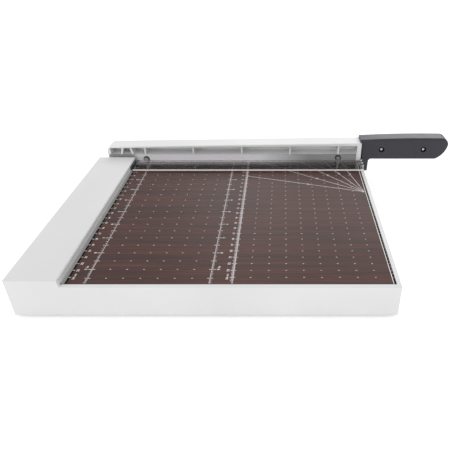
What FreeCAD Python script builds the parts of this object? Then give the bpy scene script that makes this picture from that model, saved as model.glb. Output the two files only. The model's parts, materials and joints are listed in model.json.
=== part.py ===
import FreeCAD, Part
import math
import os
import Sketcher

# Guillotine paper cutter with a rear blade arm, in millimetres.
# +X runs towards the handle, +Y towards the blade arm, +Z up.
# The origin is the middle of the whole cutter's footprint, on the surface that it stands on.

Vector = FreeCAD.Vector
doc = FreeCAD.newDocument("paper_cutter")

# ---------------------------------------------------------------- driving dimensions
DIMENSIONS = {
    # whole cutter
    "overall_length": 499, "overall_depth": 277.8, "foot_height": 3,
    # base tray
    "base_length": 377.4, "base_depth": 252.8, "board_height": 39, "rim_rise": 0.6, "fence_rise": 8.6,
    "fence_width": 52.1, "left_draft": 1.5, "right_draft": 0.6, "front_rim": 4.1, "right_rim": 4.4,
    "shell_wall": 3.5, "deck_thick": 3, "rear_wall": 5, "edge_round": 1.2, "corner_round": 2,
    "post_radius": 4.5, "post_side": 8.5, "post_front": 12, "post_rear": 14, "post_pitch": 120,
    "pilot_radius": 1.3, "screw_play": 0.3, "tray_rib": 2.4, "tray_rib_left": 155, "tray_rib_pitch": 115.5,
    "tray_rib_depth": 14, "slot_reach": 3.2, "slot_play": 0.4, "slot_front": 0.6,
    # board, squaring strip and bottom cover
    "board_thick": 6, "board_gap": 0.2, "strip_lip": 1, "strip_foot": 3.7, "strip_rise": 8.15,
    "foot_rise": 2.2, "strip_base": 0.05, "cover_thick": 1.2, "cover_play": 0.3, "pad_radius": 9,
    "pad_inset": 24, "pad_side": 30, "pad_round": 1,
    # screws from below
    "cover_head": 2.6, "cover_head_depth": 1.6, "cover_screw_length": 12, "board_head": 3,
    "board_head_depth": 2, "board_screw_left": 145, "board_screw_right": 90, "board_screw_front": 100,
    "board_screw_rear": 80, "small_socket": 1.3,
    # fixed blade bar and its countersunk screws
    "bar_thick": 3, "bar_drop": 22, "bar_left": 19, "bar_right": 3.4, "screw_radius": 2, "screw_head": 3.8,
    "countersink": 2, "bar_screw_drop": 5, "bar_screw_inset": 38, "bar_screw_pitch": 70,
    # moving blade
    "blade_gap": 0.15, "blade_thick": 2, "blade_top": 50.2, "blade_left": 221, "blade_right": 119.3,
    "edge_left": 29, "edge_right": 24.6, "belly_radius": 9000, "bevel_rise": 4, "bevel_depth": 1.6,
    "tang_bottom": 22, "tail_left": 234.5, "tail_bottom": 43, "blade_play": 0.3, "screw_left_drop": 6.6,
    "screw_right_drop": 4.6, "pan_head": 2.9, "pan_depth": 1.5,
    "ring_radius": 4.3, "ring_thick": 0.6,
    # blade arm
    "arm_left": 236.2, "arm_right": 126, "arm_top_left": 62.4, "arm_top_right": 68, "heel_bottom": 23,
    "arm_bottom": 36, "arm_end_bottom": 29, "arm_end_wall": 6, "arm_round": 7, "web_thick": 4.6,
    "bay_left": 231.6, "bay_bottom": 50.2, "bay_top_left": 60.4, "bay_top_right": 63.7, "rib_pitch": 69,
    "first_rib": 182.4, "arm_rib": 2.4, "rib_setback": 0.4, "lean_middle": -0.3, "lean_foot": 8.2,
    "lean_head": 5.5, "heel_round": 5, "arm_edge_round": 1.2, "boss_outer": 13, "relief_depth": 1.4,
    "relief_edge": 5, "tongue_end": 231, "tongue_thick": 8, "tongue_low": 50, "tongue_high": 66,
    # pivot
    "pivot_left": 208, "pivot_height": 33, "bolt_radius": 4, "bolt_head": 7, "bolt_head_depth": 5,
    "bush_radius": 6, "running_gap": 0.06, "counterbore": 9, "counterbore_depth": 8, "washer_thick": 1,
    "bracket_thick": 3, "bracket_height": 29, "bracket_width": 22, "bracket_shift": 4.1,
    "bracket_drop": 20, "bracket_flange": 22, "nut_radius": 7, "nut_depth": 6.5, "bolt_socket": 3.2,
    "spring_thick": 1.5, "spring_radius": 6.9,
    # handle
    "handle_top_left": 72.2, "handle_top_right": 74.9, "handle_bottom": 43, "prong_bottom": 23.8,
    "handle_lap": 1.6, "handle_gap": 0.1, "screw_one": 155, "screw_two": 214.6,
    "handle_screw_height": 57.9, "grip_screw_head": 2.1, "grip_head_depth": 2, "grip_nut": 3.4,
    "grip_nut_depth": 2.2, "recess_radius": 3.5, "recess_depth": 3.6, "grip_round": 3,
    # clear guard and its guide screws
    "guard_depth": 26.6, "guard_thick": 2.8, "guard_lift": 0.8, "guard_travel": 3, "guard_setback": 0.4,
    "guard_tongue": 2.4, "guard_bevel": 0.8, "guide_radius": 1.25, "guide_gap": 0.08, "guide_head": 2,
    "guide_head_depth": 1.2, "guide_root": 6, "guide_pitch": 8, "guide_rear": 5,
    # stops
    "stop_pin_radius": 3, "stop_pin_right": 2.3, "stop_pin_drop": 22.1, "stop_pin_reach": 17,
    "buffer_thick": 2.8, "buffer_gap": 0.2, "rest_thick": 5, "rest_depth": 14, "rest_left": 1.2,
    "rest_width": 5.1,
}

dims = doc.addObject("Spreadsheet::Sheet", "dims")
for row, (alias, size) in enumerate(DIMENSIONS.items(), start=1):
    dims.set(f"A{row}", alias.replace("_", " "))
    dims.set(f"B{row}", str(size))
    dims.setAlias(f"B{row}", alias)
doc.recompute()


def cell(formula):
    """A formula over the sheet's aliases, written with @ in front of each alias."""
    return "(" + formula.replace("@", "dims.") + ")"


def number(formula):
    """The present value of such a formula, in millimetres."""
    return float(dims.evalExpression(cell(formula)))


# Places that many sub-parts share, as formulas over the sheet.
LEFT = "(-@overall_length / 2)"
RIGHT = f"({LEFT} + @base_length)"
FRONT = "(-@overall_depth / 2)"
REAR = f"({FRONT} + @base_depth)"
ARM_REAR = "(@overall_depth / 2)"
FLOOR = "@foot_height"
BOARD_TOP = "@board_height"
BOARD_UNDER = "(@board_height - @board_thick)"
DECK_UNDER = f"({BOARD_UNDER} - @deck_thick)"
RIM_TOP = "(@board_height + @rim_rise)"
FENCE_TOP = "(@board_height + @fence_rise)"
FENCE_FACE = f"({LEFT} + @fence_width)"
RAIL_FACE = f"({RIGHT} - @right_draft - @right_rim)"
BAR_REAR = f"({REAR} + @bar_thick)"
BLADE_FRONT = f"({BAR_REAR} + @blade_gap)"
BLADE_REAR = f"({BLADE_FRONT} + @blade_thick)"
ARM_FRONT = BLADE_FRONT
ARM_MIDDLE = f"(({ARM_FRONT} + {ARM_REAR}) / 2)"
PIVOT = "(-@pivot_left)"
GUARD_FRONT = f"({REAR} - @guard_setback - @guard_depth)"
GUARD_UNDER = "(@board_height + @guard_lift)"
GUARD_HIGHEST = f"({GUARD_UNDER} + @guard_thick + @guard_travel)"
COVER_TOP = "(@foot_height + @cover_thick)"
BUFFER_UNDER = "(@arm_end_bottom - @buffer_thick - @buffer_gap)"


# ---------------------------------------------------------------- building helpers
SPIN = {
    "x": FreeCAD.Rotation(Vector(0, 1, 0), 90),
    "y": FreeCAD.Rotation(Vector(1, 0, 0), -90),
    "z": FreeCAD.Rotation(),
}


def bind(thing, prop, formula):
    thing.setExpression(prop, cell(formula))


def put(thing, place):
    """Bind the three coordinates of a primitive's placement."""
    for letter, formula in zip("xyz", place):
        bind(thing, f"Placement.Base.{letter}", formula)
    return thing


def box(name, low, size):
    thing = doc.addObject("Part::Box", name)
    for prop, formula in zip(("Length", "Width", "Height"), size):
        bind(thing, prop, formula)
    return put(thing, low)


def cylinder(name, start, radius, length, along="z"):
    thing = doc.addObject("Part::Cylinder", name)
    thing.Placement = FreeCAD.Placement(Vector(), SPIN[along])
    bind(thing, "Radius", radius)
    bind(thing, "Height", length)
    return put(thing, start)


def cone(name, start, radius_1, radius_2, length, along="z"):
    thing = doc.addObject("Part::Cone", name)
    thing.Placement = FreeCAD.Placement(Vector(), SPIN[along])
    bind(thing, "Radius1", radius_1)
    bind(thing, "Radius2", radius_2)
    bind(thing, "Height", length)
    return put(thing, start)


def prism(name, sides, start, radius, length, along="z"):
    thing = doc.addObject("Part::Prism", name)
    thing.Polygon = sides
    thing.Placement = FreeCAD.Placement(Vector(), SPIN[along])
    bind(thing, "Circumradius", radius)
    bind(thing, "Height", length)
    return put(thing, start)


def fuse(name, *things):
    joined = doc.addObject("Part::MultiFuse", name)
    joined.Shapes = list(things)
    joined.Refine = True
    return joined


def cut(name, base, *tools):
    result = doc.addObject("Part::Cut", name)
    result.Base = base
    result.Tool = tools[0] if len(tools) == 1 else fuse(name + "_tools", *tools)
    return result


def group(name, things):
    """Identical fasteners that share one node, each a separate solid."""
    compound = doc.addObject("Part::Compound", name)
    compound.Links = list(things)
    return compound


def new_body(name):
    return doc.addObject("PartDesign::Body", name)


def sketch_on(body, name, plane, offset):
    """A sketch parallel to an origin plane; on XZ_Plane, offset is the distance towards +Y."""
    sketch = body.newObject("Sketcher::SketchObject", name)
    planes = {feature.Role: feature for feature in body.Origin.OriginFeatures}
    sketch.AttachmentSupport = [(planes[plane], "")]
    sketch.MapMode = "FlatFace"
    sign = "-" if plane == "XZ_Plane" else ""
    sketch.setExpression("AttachmentOffset.Base.z", f"{sign}{cell(offset)}")
    return sketch


def arc_middle(start, end, radius, side):
    """A point halfway along the arc from start to end that bulges to the right of the chord for side 1."""
    chord = end - start
    half = chord.Length / 2
    sagitta = radius - math.sqrt(radius * radius - half * half)
    outward = Vector(chord.y, -chord.x, 0).normalize()
    return (start + end) * 0.5 + outward * (sagitta * side)


def outline(sketch, corners):
    """Close a wire through corners, fixing each one with two bound distances from the sketch's origin.

    A corner is (x, y), or (x, y, radius, side) where an arc leads to the next corner.
    """
    points = [Vector(number(corner[0]), number(corner[1]), 0) for corner in corners]
    ends = []
    for index, corner in enumerate(corners):
        start = points[index]
        end = points[(index + 1) % len(points)]
        if len(corner) == 2:
            edge = sketch.addGeometry(Part.LineSegment(start, end), False)
            ends.append((edge, 1, 2))
            continue
        middle = arc_middle(start, end, number(corner[2]), corner[3])
        if corner[3] > 0:
            edge = sketch.addGeometry(Part.Arc(start, middle, end), False)
            ends.append((edge, 1, 2))
        else:
            edge = sketch.addGeometry(Part.Arc(end, middle, start), False)
            ends.append((edge, 2, 1))
        radius = sketch.addConstraint(Sketcher.Constraint("Radius", edge, number(corner[2])))
        sketch.setExpression(f"Constraints[{radius}]", cell(corner[2]))
    for index, corner in enumerate(corners):
        edge, first, last = ends[index]
        after, after_first, _ = ends[(index + 1) % len(ends)]
        sketch.addConstraint(Sketcher.Constraint("Coincident", edge, last, after, after_first))
        for kind, formula in (("DistanceX", corner[0]), ("DistanceY", corner[1])):
            fixed = sketch.addConstraint(Sketcher.Constraint(kind, -1, 1, edge, first, number(formula)))
            sketch.setExpression(f"Constraints[{fixed}]", cell(formula))


def rectangle(sketch, low, high):
    outline(sketch, [(low[0], low[1]), (high[0], low[1]), (high[0], high[1]), (low[0], high[1])])


def circle(sketch, centre, radius):
    place = Vector(number(centre[0]), number(centre[1]), 0)
    edge = sketch.addGeometry(Part.Circle(place, Vector(0, 0, 1), number(radius)), False)
    for kind, formula in (("DistanceX", centre[0]), ("DistanceY", centre[1])):
        fixed = sketch.addConstraint(Sketcher.Constraint(kind, -1, 1, edge, 3, number(formula)))
        sketch.setExpression(f"Constraints[{fixed}]", cell(formula))
    size = sketch.addConstraint(Sketcher.Constraint("Radius", edge, number(radius)))
    sketch.setExpression(f"Constraints[{size}]", cell(radius))


def faces_front(sketch):
    """True for a sketch on XZ_Plane, whose normal points towards -Y."""
    return sketch.AttachmentSupport[0][0].Role == "XZ_Plane"


def pad(body, name, sketch, length):
    """Extrude a sketch towards +Y or +Z."""
    feature = body.newObject("PartDesign::Pad", name)
    feature.Profile = sketch
    feature.Reversed = faces_front(sketch)
    bind(feature, "Length", length)
    return feature


def pocket(body, name, sketch, length, sign=1):
    """Cut towards +Y or +Z, or the other way for sign -1; it has to remove something."""
    doc.recompute()
    before = body.Shape.Volume
    feature = body.newObject("PartDesign::Pocket", name)
    feature.Profile = sketch
    feature.Reversed = (sign > 0) != faces_front(sketch)
    bind(feature, "Length", length)
    doc.recompute()
    if not body.Shape.Volume < before - 0.5:
        raise RuntimeError(f"{body.Label}: {name} cuts nothing")
    return feature


def edges_where(shape, wanted):
    return [f"Edge{i}" for i, edge in enumerate(shape.Edges, start=1) if wanted(edge)]


def along_axis(edge, axis):
    if edge.Curve.TypeId != "Part::GeomLine":
        return False
    return abs(abs(edge.Curve.Direction.dot(axis)) - 1) < 1e-6


def dress(body, kind, name, wanted, sizes):
    """A PartDesign fillet or chamfer on the edges of the body's present shape that wanted() picks."""
    doc.recompute()
    base = body.Tip
    feature = body.newObject(kind, name)
    feature.Base = (base, edges_where(base.Shape, wanted))
    for prop, formula in sizes.items():
        bind(feature, prop, formula)
    doc.recompute()
    if "Invalid" in feature.State or not feature.Base[1]:
        raise RuntimeError(f"{body.Label}: {name} failed on {feature.Base[1]}")
    return feature


# ---------------------------------------------------------------- base
BAR_SCREWS = [f"{PIVOT} + @bar_screw_inset + @bar_screw_pitch * {step}" for step in range(5)]
BAR_SCREW_HEIGHT = f"({BOARD_UNDER} - @bar_screw_drop)"
COVER_SCREWS = [
    (x, y)
    for x in (f"{LEFT} + @post_side", "-@post_pitch * 5 / 6", "@post_pitch / 6", f"{RIGHT} - @post_side")
    for y in (f"{FRONT} + @post_front", f"{REAR} - @post_rear")
]
BOARD_SCREWS = [
    (x, y)
    for x in ("-@board_screw_left", "@board_screw_right")
    for y in ("-@board_screw_front", "@board_screw_rear")
]
GUIDE_PLACES = [f"{REAR} - @guide_rear - @guide_pitch * {step}" for step in range(3)]
RAIL_MIDDLE = f"({RAIL_FACE} + @right_rim / 2)"


def base_tray():
    """Moulded shell: raised hollow fence on the left, recess for the board, rim on two sides."""
    body = new_body("base_tray")
    front_view = sketch_on(body, "tray_front_view", "XZ_Plane", FRONT)
    outline(front_view, [
        (LEFT, FLOOR),
        (RIGHT, FLOOR),
        (f"{RIGHT} - @right_draft", RIM_TOP),
        (f"{FENCE_FACE} + @strip_lip + 0.2", RIM_TOP),
        (f"{FENCE_FACE} + 0.2", FENCE_TOP),
        (f"{LEFT} + @left_draft", FENCE_TOP),
    ])
    pad(body, "tray_block", front_view, "@base_depth")
    recess = sketch_on(body, "tray_recess_plan", "XY_Plane", f"{FENCE_TOP} + 1")
    rectangle(recess, (FENCE_FACE, f"{FRONT} + @front_rim"), (RAIL_FACE, f"{REAR} + 1"))
    pocket(body, "tray_recess", recess, f"{FENCE_TOP} + 1 - {BOARD_UNDER}", sign=-1)
    dress(body, "PartDesign::Fillet", "tray_corner_rounds", is_tray_corner, {"Radius": "@corner_round"})
    dress(body, "PartDesign::Fillet", "tray_edge_rounds", is_tray_top_edge, {"Radius": "@edge_round"})
    under = sketch_on(body, "tray_hollow_plan", "XY_Plane", FLOOR)
    rectangle(under, (f"{LEFT} + @left_draft + @shell_wall", f"{FRONT} + @shell_wall"),
              (f"{RIGHT} - @shell_wall - @right_draft", f"{REAR} - @rear_wall"))
    pocket(body, "tray_hollow", under, f"{DECK_UNDER} - {FLOOR}")
    fence = sketch_on(body, "fence_hollow_plan", "XY_Plane", f"{DECK_UNDER} - 1")
    rectangle(fence, (f"{LEFT} + @left_draft + @shell_wall", f"{FRONT} + @shell_wall"),
              (f"{FENCE_FACE} - @shell_wall", f"{REAR} - @rear_wall"))
    pocket(body, "fence_hollow", fence, f"{FENCE_TOP} - @shell_wall - {DECK_UNDER} + 1")
    add_tray_bosses(body)
    slot = sketch_on(body, "guard_slot_view", "XZ_Plane", f"{GUARD_FRONT} - @slot_front")
    rectangle(slot, (f"{FENCE_FACE} - @slot_reach", f"{GUARD_UNDER} - @slot_play"),
              (f"{FENCE_FACE} + 2", f"{GUARD_HIGHEST} + @slot_play"))
    pocket(body, "guard_slot", slot, "@guard_depth + 3")
    holes = sketch_on(body, "rear_holes_view", "XZ_Plane", f"{REAR} + 1")
    circle(holes, (PIVOT, "@pivot_height"), "@bolt_radius + 0.2")
    for x in BAR_SCREWS:
        circle(holes, (x, BAR_SCREW_HEIGHT), "@pilot_radius + @screw_play")
    pocket(body, "rear_holes", holes, "@rear_wall + 2", sign=-1)
    return body


def is_tray_corner(edge):
    """The two outer upright corners at the front."""
    box_of = edge.BoundBox
    upright = box_of.ZLength > number(f"{RIM_TOP} - {FLOOR}") - 0.5
    at_front = abs(box_of.YMin - number(FRONT)) < 0.01
    return upright and box_of.YLength < 0.01 and at_front


def is_tray_top_edge(edge):
    """The rim's and the fence's outer top edges, at the front and on both sides."""
    box_of = edge.BoundBox
    level = box_of.ZLength < 0.01
    at_top = min(abs(box_of.ZMin - number(RIM_TOP)), abs(box_of.ZMin - number(FENCE_TOP))) < 0.01
    outer = (
        abs(box_of.YMax - number(FRONT)) < 0.01
        or box_of.XMax < number(LEFT) + 5.5
        or box_of.XMin > number(RIGHT) - 3.2
    )
    return level and at_top and outer


def add_tray_bosses(body):
    """Posts for the cover screws, and ribs under the deck that tie them together."""
    posts = sketch_on(body, "tray_post_plan", "XY_Plane", COVER_TOP)
    for x, y in COVER_SCREWS:
        circle(posts, (x, y), "@post_radius")
    pad(body, "tray_posts", posts, f"{DECK_UNDER} - {COVER_TOP} + 1")
    ribs = sketch_on(body, "tray_rib_plan", "XY_Plane", f"{DECK_UNDER} - @tray_rib_depth")
    for step in range(3):
        x = f"-@tray_rib_left + @tray_rib_pitch * {step}"
        rectangle(ribs, (x, f"{FRONT} + @shell_wall - 1"), (f"{x} + @tray_rib", f"{REAR} - @rear_wall + 1"))
    pad(body, "tray_ribs", ribs, "@tray_rib_depth + 1")
    pilots = sketch_on(body, "tray_pilot_plan", "XY_Plane", FLOOR)
    for x, y in COVER_SCREWS:
        circle(pilots, (x, y), "@pilot_radius")
    pocket(body, "tray_pilots", pilots, "@cover_screw_length + 4")
    clearance = sketch_on(body, "board_screw_plan", "XY_Plane", f"{DECK_UNDER} - 1")
    for x, y in BOARD_SCREWS:
        circle(clearance, (x, y), "@pilot_radius + @screw_play")
    pocket(body, "board_screw_holes", clearance, "@deck_thick + 2")
    guides = sketch_on(body, "guide_pilot_plan", "XY_Plane", f"{RIM_TOP} + 1")
    for y in GUIDE_PLACES:
        circle(guides, (RAIL_MIDDLE, y), "@guide_radius - @screw_play")
    pocket(body, "guide_pilots", guides, "@guide_root + 3", sign=-1)


def cutting_board():
    """Wood-faced board, let into the tray and flush with the fixed blade's edge."""
    low = (f"{FENCE_FACE} + @strip_base", f"{FRONT} + @front_rim + @board_gap", BOARD_UNDER)
    size = (f"{RAIL_FACE} - {FENCE_FACE} - @strip_base - @board_gap",
            "@base_depth - @front_rim - 1.5 * @board_gap", "@board_thick")
    panel = box("board_panel", low, size)
    holes = [
        cylinder(f"board_pilot_{index}", (x, y, f"{BOARD_UNDER} - 1"), "@pilot_radius", "5")
        for index, (x, y) in enumerate(BOARD_SCREWS)
    ]
    return cut("cutting_board", panel, *holes)


def squaring_strip():
    """Grey strip that paper is pushed against, with a shallow foot at the board."""
    body = new_body("squaring_strip")
    section = sketch_on(body, "strip_section", "XZ_Plane", f"{FRONT} + @front_rim + @board_gap")
    outline(section, [
        (f"{FENCE_FACE} + 0.02", f"{BOARD_TOP} + @strip_base"),
        (f"{FENCE_FACE} + @strip_foot", f"{BOARD_TOP} + @strip_base"),
        (f"{FENCE_FACE} + @strip_lip + 1.5", f"{BOARD_TOP} + @foot_rise"),
        (f"{FENCE_FACE} + @strip_lip + 0.4", f"{BOARD_TOP} + @foot_rise + 0.3"),
        (f"{FENCE_FACE} + @strip_lip", f"{BOARD_TOP} + @strip_rise"),
        (f"{FENCE_FACE} + 0.02", f"{BOARD_TOP} + @strip_rise"),
    ])
    pad(body, "strip_length", section, "@base_depth - @front_rim - 1.5 * @board_gap")
    notch = sketch_on(body, "strip_notch_view", "XZ_Plane", f"{GUARD_FRONT} - @slot_front")
    rectangle(notch, (f"{FENCE_FACE} - 1", f"{BOARD_TOP} - 1"),
              (f"{FENCE_FACE} + @strip_foot + 1", f"{GUARD_HIGHEST} + @slot_play"))
    pocket(body, "strip_notch", notch, "@guard_depth + 3")
    return body


def base_cover():
    """Sheet-steel bottom that closes the tray."""
    low = (f"{LEFT} + @left_draft + @shell_wall + @cover_play", f"{FRONT} + @shell_wall + @cover_play", FLOOR)
    size = ("@base_length - @left_draft - @right_draft - 2 * @shell_wall - 2 * @cover_play",
            "@base_depth - @shell_wall - @rear_wall - 2 * @cover_play", "@cover_thick")
    sheet = box("cover_sheet", low, size)
    holes = [
        cylinder(f"cover_hole_{index}", (x, y, f"{FLOOR} - 1"), "@pilot_radius + @screw_play", "4")
        for index, (x, y) in enumerate(COVER_SCREWS)
    ]
    return cut("base_cover", sheet, *holes)


def cover_screws():
    """Socket screws that hold the bottom cover to the tray's posts."""
    screws = []
    for index, (x, y) in enumerate(COVER_SCREWS):
        start = f"{FLOOR} - @cover_head_depth"
        head = cylinder(f"cover_screw_head_{index}", (x, y, start), "@cover_head", "@cover_head_depth")
        shank = cylinder(f"cover_screw_shank_{index}", (x, y, f"{FLOOR} - 0.5"), "@pilot_radius",
                         "@cover_screw_length")
        socket = prism(f"cover_screw_socket_{index}", 6, (x, y, f"{start} - 0.1"), "@small_socket", "1")
        screws.append(cut(f"cover_screw_{index}", fuse(f"cover_screw_body_{index}", head, shank), socket))
    return group("cover_screws", screws)


def board_screws():
    """Screws from inside the tray up into the board."""
    screws = []
    for index, (x, y) in enumerate(BOARD_SCREWS):
        head = cylinder(f"board_screw_head_{index}", (x, y, f"{DECK_UNDER} - @board_head_depth"),
                        "@board_head", "@board_head_depth")
        shank = cylinder(f"board_screw_shank_{index}", (x, y, f"{DECK_UNDER} - 0.5"), "@pilot_radius",
                         "@deck_thick + 4")
        screws.append(fuse(f"board_screw_{index}", head, shank))
    return group("board_screws", screws)


def rubber_foot(name, x, y):
    """Round rubber foot with a rounded lower edge, bonded to the cover."""
    disc = cylinder(name + "_disc", (x, y, "0"), "@pad_radius", "@foot_height")
    rounded = doc.addObject("Part::Fillet", name)
    rounded.Base = disc
    doc.recompute()
    softness = number("@pad_round")
    rounded.Edges = [
        (index, softness, softness)
        for index, edge in enumerate(disc.Shape.Edges, start=1)
        if edge.BoundBox.ZLength < 0.01 and edge.BoundBox.ZMax < 0.01
    ]
    return rounded


def rubber_feet():
    sides = {"left": f"{LEFT} + @pad_side", "right": f"{RIGHT} - @pad_side"}
    ends = {"front": f"{FRONT} + @pad_inset", "rear": f"{REAR} - @pad_inset"}
    return [rubber_foot(f"foot_{end}_{side}", sides[side], ends[end]) for end in ends for side in sides]


# ---------------------------------------------------------------- fixed blade and pivot
def fixed_blade():
    """Steel bar along the tray's rear face; its top edge is the counter edge of the cut."""
    bar = box("fixed_blade_bar", (f"{PIVOT} - @bar_left", REAR, f"{BOARD_TOP} - @bar_drop"),
              (f"{RIGHT} - @bar_right - {PIVOT} + @bar_left", "@bar_thick", "@bar_drop"))
    tools = [cylinder("fixed_blade_pivot_hole", (PIVOT, f"{REAR} - 1", "@pivot_height"),
                      "@bolt_radius + 0.1", "@bar_thick + 2", "y")]
    for index, x in enumerate(BAR_SCREWS):
        place = (x, f"{REAR} - 1", BAR_SCREW_HEIGHT)
        tools.append(cylinder(f"fixed_blade_hole_{index}", place, "@screw_radius + 0.1", "@bar_thick + 2",
                              "y"))
        sunk = (x, f"{BAR_REAR} - @countersink", BAR_SCREW_HEIGHT)
        tools.append(cone(f"fixed_blade_sink_{index}", sunk, "@screw_radius + 0.1", "@screw_head + 0.1",
                          "@countersink", "y"))
    return cut("fixed_blade", bar, *tools)


def fixed_blade_screws():
    """Countersunk screws, flush with the bar so that the moving blade clears them."""
    screws = []
    for index, x in enumerate(BAR_SCREWS):
        head = cone(f"bar_screw_head_{index}", (x, f"{BAR_REAR} - @countersink - 0.05", BAR_SCREW_HEIGHT),
                    "@screw_radius", "@screw_head", "@countersink", "y")
        shank = cylinder(f"bar_screw_shank_{index}", (x, f"{REAR} - @rear_wall - 2", BAR_SCREW_HEIGHT),
                         "@pilot_radius + @screw_play", "@rear_wall + 2 + @bar_thick - @countersink", "y")
        screws.append(fuse(f"bar_screw_{index}", head, shank))
    return group("fixed_blade_screws", screws)


def pivot_bracket():
    """Folded steel plate inside the fence that backs the rear wall at the pivot."""
    left = f"{PIVOT} - @bracket_width / 2 - @bracket_shift"
    low = "@pivot_height - @bracket_drop"
    plate = box("bracket_plate", (left, f"{REAR} - @rear_wall - @bracket_thick", low),
                ("@bracket_width", "@bracket_thick", "@bracket_height"))
    flange = box("bracket_flange", (left, f"{REAR} - @rear_wall - @bracket_flange", low),
                 ("@bracket_width", "@bracket_flange - @bracket_thick + 0.5", "@bracket_thick"))
    hole = cylinder("bracket_hole", (PIVOT, f"{REAR} - @rear_wall - 5", "@pivot_height"),
                    "@bolt_radius + 0.1", "6", "y")
    return cut("pivot_bracket", fuse("bracket_folded", plate, flange), hole)


def pivot_bolt():
    """Bolt with a domed hexagon-socket head sunk in the arm's boss; the arm turns on its shank."""
    start = f"({REAR} - @rear_wall - @bracket_thick - @spring_thick - @nut_depth - 2)"
    seat = f"({ARM_REAR} - @counterbore_depth + @washer_thick)"
    shank = cylinder("pivot_shank", (PIVOT, start, "@pivot_height"), "@bolt_radius",
                     f"{seat} - {start} + 0.5", "y")
    head = cylinder("pivot_head", (PIVOT, seat, "@pivot_height"), "@bolt_head", "@bolt_head_depth", "y")
    socket = prism("pivot_socket", 6, (PIVOT, f"{seat} + @bolt_head_depth - 3", "@pivot_height"),
                   "@bolt_socket", "4", "y")
    return cut("pivot_bolt", fuse("pivot_bolt_body", shank, head), socket)


def ring(name, start, inner, outer, length):
    """A washer or bush on the pivot's axis."""
    solid = cylinder(name + "_outer", (PIVOT, start, "@pivot_height"), outer, length, "y")
    bore = cylinder(name + "_bore", (PIVOT, f"{start} - 1", "@pivot_height"), inner, f"{length} + 2", "y")
    return cut(name, solid, bore)


def pivot_bush():
    return ring("pivot_bush", f"{BLADE_FRONT} + 0.05", "@bolt_radius + @running_gap", "@bush_radius",
                f"{ARM_REAR} - @counterbore_depth - {BLADE_FRONT} - 0.1")


def pivot_washer():
    return ring("pivot_washer", f"{ARM_REAR} - @counterbore_depth", "@bolt_radius + 0.05", "@counterbore - 1",
                "@washer_thick")


def spring_washer():
    """Conical washer that keeps the moving blade pressed to the bar and holds the arm by friction."""
    start = f"{REAR} - @rear_wall - @bracket_thick - @spring_thick"
    solid = cone("spring_washer_cone", (PIVOT, start, "@pivot_height"), "@spring_radius - 1.4",
                 "@spring_radius", "@spring_thick", "y")
    bore = cylinder("spring_washer_bore", (PIVOT, f"{start} - 1", "@pivot_height"), "@bolt_radius + 0.1",
                    "@spring_thick + 2", "y")
    return cut("spring_washer", solid, bore)


def pivot_nut():
    start = f"{REAR} - @rear_wall - @bracket_thick - @spring_thick - @nut_depth"
    hexagon = prism("pivot_nut_hexagon", 6, (PIVOT, start, "@pivot_height"), "@nut_radius", "@nut_depth", "y")
    bore = cylinder("pivot_nut_bore", (PIVOT, f"{start} - 1", "@pivot_height"), "@bolt_radius",
                    "@nut_depth + 2", "y")
    return cut("pivot_nut", hexagon, bore)


def open_stop_pin():
    """Pin on the tray's rear face that the arm's heel meets when the arm is fully raised."""
    start = (f"{PIVOT} + @stop_pin_right", REAR, "@pivot_height - @stop_pin_drop")
    return cylinder("open_stop_pin", start, "@stop_pin_radius", "@stop_pin_reach", "y")


def arm_rest():
    """Steel lug behind the fixed blade, under the arm's end wall."""
    low = ("@blade_right + @rest_left", BAR_REAR, f"{BUFFER_UNDER} - @rest_thick")
    return box("arm_rest", low, ("@rest_width", "@rest_depth", "@rest_thick"))


def rest_buffer():
    """Rubber pad on the lug, which takes the arm at the end of a cut."""
    low = ("@blade_right + @rest_left", f"{BAR_REAR} + 1", BUFFER_UNDER)
    return box("rest_buffer", low, ("@rest_width", "@rest_depth - 1", "@buffer_thick"))


# ---------------------------------------------------------------- blade arm
BLADE_SCREWS = [
    ("-@first_rib + 0.7", "(@blade_top - @screw_left_drop)"),
    ("-@first_rib + 4 * @rib_pitch", "(@blade_top - @screw_right_drop)"),
]


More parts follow.
